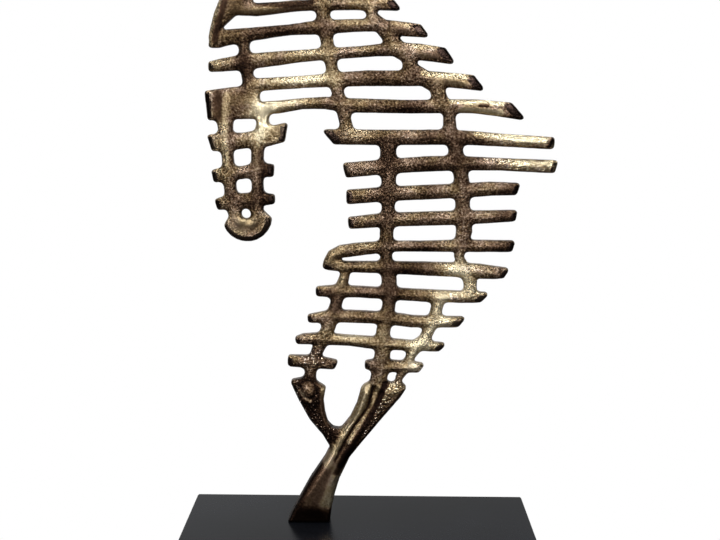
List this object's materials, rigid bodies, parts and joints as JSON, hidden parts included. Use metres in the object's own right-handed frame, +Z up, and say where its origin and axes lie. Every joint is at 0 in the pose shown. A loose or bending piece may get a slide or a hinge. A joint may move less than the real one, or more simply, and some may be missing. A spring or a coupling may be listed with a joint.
{
  "type": "horse bust sculpture on stand",
  "caption": "Standing ornament: a horse's head and neck in profile, cast flat as an open lattice of ribs on a forked stem, fixed upright on a low rectangular black base.",
  "frame": {"origin": "centre of the underside of the base", "axes": "+Z up, +X along the base towards the tips of the mane with the muzzle towards -X, +Y from the modelled front to the plain back"},
  "size_m": [0.312, 0.11, 0.5334],
  "materials": {
    "cast_metal": "rough sand-cast metal with an antique gold-bronze tone, bright on the ridges and nearly black in the hollows",
    "black_base": "smooth satin black lacquer"
  },
  "bodies": {
    "root": {"horse_casting": "cast_metal", "base_plate": "black_base"}
  },
  "joints": []
}
